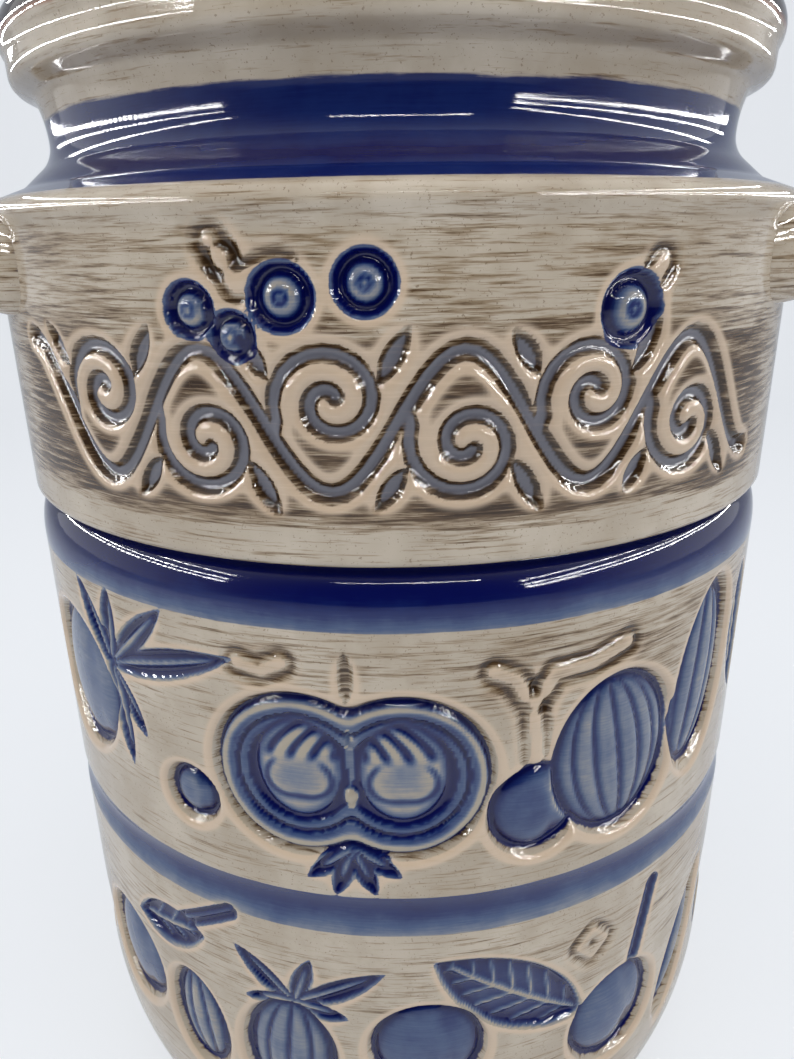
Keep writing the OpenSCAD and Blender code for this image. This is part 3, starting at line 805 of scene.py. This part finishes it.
# LID
# A shallow dome with a flat flange that rests on the lip, a cobalt ring where the dome starts,
# and a locating ring underneath that keeps it in the mouth.
LID_COLUMNS, LID_RADIUS, DOME_RADIUS, SEAT_RADIUS = 240, 80.8, 68.8, 14.0
FLANGE_TOP, DOME_TOP, EDGE_ROUND, GROOVE_DOWN = 279.8, 292.8, 2.6, 1.4
RING_OUT, RING_IN, RING_DEEP, LID_THICK = 73.9, 68.9, 9.0, 5.5
DOME_RISE = DOME_TOP - FLANGE_TOP - 0.6
lid_line = [(0.0, DOME_TOP), (SEAT_RADIUS - 1, DOME_TOP)]
lid_line += [(DOME_RADIUS - 2 - (DOME_RADIUS - 2 - SEAT_RADIUS) * t,
              FLANGE_TOP + 0.6 + DOME_RISE * math.sin(math.pi / 2 * t)) for t in np.linspace(1, 0, 30)]
lid_line += [(DOME_RADIUS - 1, FLANGE_TOP - GROOVE_DOWN + 0.2), (DOME_RADIUS, FLANGE_TOP - GROOVE_DOWN),
             (DOME_RADIUS + 1, FLANGE_TOP - GROOVE_DOWN + 0.2), (DOME_RADIUS + 2, FLANGE_TOP)]
lid_line += bow(LID_RADIUS - EDGE_ROUND, FLANGE_TOP - EDGE_ROUND, EDGE_ROUND, 90, 0)
lid_line += [(LID_RADIUS, LAND + 1), (LID_RADIUS - 1, LAND), (RING_OUT, LAND),
             (RING_OUT, LAND - RING_DEEP + 1), (RING_OUT - 1, LAND - RING_DEEP),
             (RING_IN + 1, LAND - RING_DEEP), (RING_IN, LAND - RING_DEEP + 1), (RING_IN, LAND)]
lid_line += [(RING_IN - (RING_IN - SEAT_RADIUS) * t,
              DOME_TOP - LID_THICK - 13 * (1 - math.sin(math.pi / 2 * t))) for t in np.linspace(0.25, 1, 16)]
lid_line += [(0.0, DOME_TOP - LID_THICK)]
lid_rows = stepped(lid_line, lambda height: 1.1)[::-1]


def turned_piece(name, rows, count):
    """Mesh turned from a line that starts and ends on the axis"""
    rings = [ring(1, 0.0, rows[0, 1])] + [ring(count, r, z) for r, z in rows[1:-1]]
    rings += [ring(1, 0.0, rows[-1, 1])]
    return turned_skin(name, rings, np.linspace(0, 1, len(rings)))


lid_mesh = turned_piece("lid_dome", lid_rows, LID_COLUMNS)
lid_points = np.array([v.co for v in lid_mesh.vertices]) / MM
lid_out, lid_up = np.hypot(lid_points[:, 0], lid_points[:, 1]), lid_points[:, 2]
top_side = lid_up > FLANGE_TOP - GROOVE_DOWN - 0.2
from_groove = np.abs(lid_out - DOME_RADIUS)
add_number(lid_mesh, "blue", np.where(top_side, smooth((3.2 - from_groove) / 1.6), 0))
add_number(lid_mesh, "thick", np.full(len(lid_out), 0.85))
add_number(lid_mesh, "hollow", np.where(top_side, 0.5 * smooth((1.6 - from_groove) / 1.2), 0))
add_number(lid_mesh, "wash", np.full(len(lid_out), 0.2))
place_piece(lid_mesh, glaze("lid_glaze", 8.0), "lid", "lid")

# KNOB
# Turned like a plump berry on a short waist, luted to the dome and dipped in cobalt.
KNOB_RADIUS, KNOB_HIGH, KNOB_FOOT, WAIST, WAIST_ROUND, KNOB_COLUMNS = 17.0, 25.0, 12.0, 9.5, 4.2, 120
head = KNOB_HIGH * 0.66
knob_line = [(0.0, DOME_TOP), (KNOB_FOOT - 1, DOME_TOP)] + bow(KNOB_FOOT - 1, DOME_TOP + 1, 1, -90, 0, 6)
knob_line += bow(WAIST + WAIST_ROUND, DOME_TOP + 5.6, WAIST_ROUND, 240, 180, 10)
knob_line += [(KNOB_RADIUS * math.cos(a), DOME_TOP + KNOB_HIGH - head / 2 + head / 2 * math.sin(a))
              for a in np.radians(np.linspace(-56, 90, 34))]
knob_rows = stepped(knob_line, lambda height: 0.8)
knob_mesh = turned_piece("knob", knob_rows, KNOB_COLUMNS)
knob_up = np.array([v.co.z for v in knob_mesh.vertices]) / MM
add_number(knob_mesh, "blue", np.ones(len(knob_up)))
add_number(knob_mesh, "thick", 0.75 + 0.25 * smooth((DOME_TOP + 12 - knob_up) / 10))
place_piece(knob_mesh, glaze("knob_glaze", 12.0), "lid", "lid_knob")
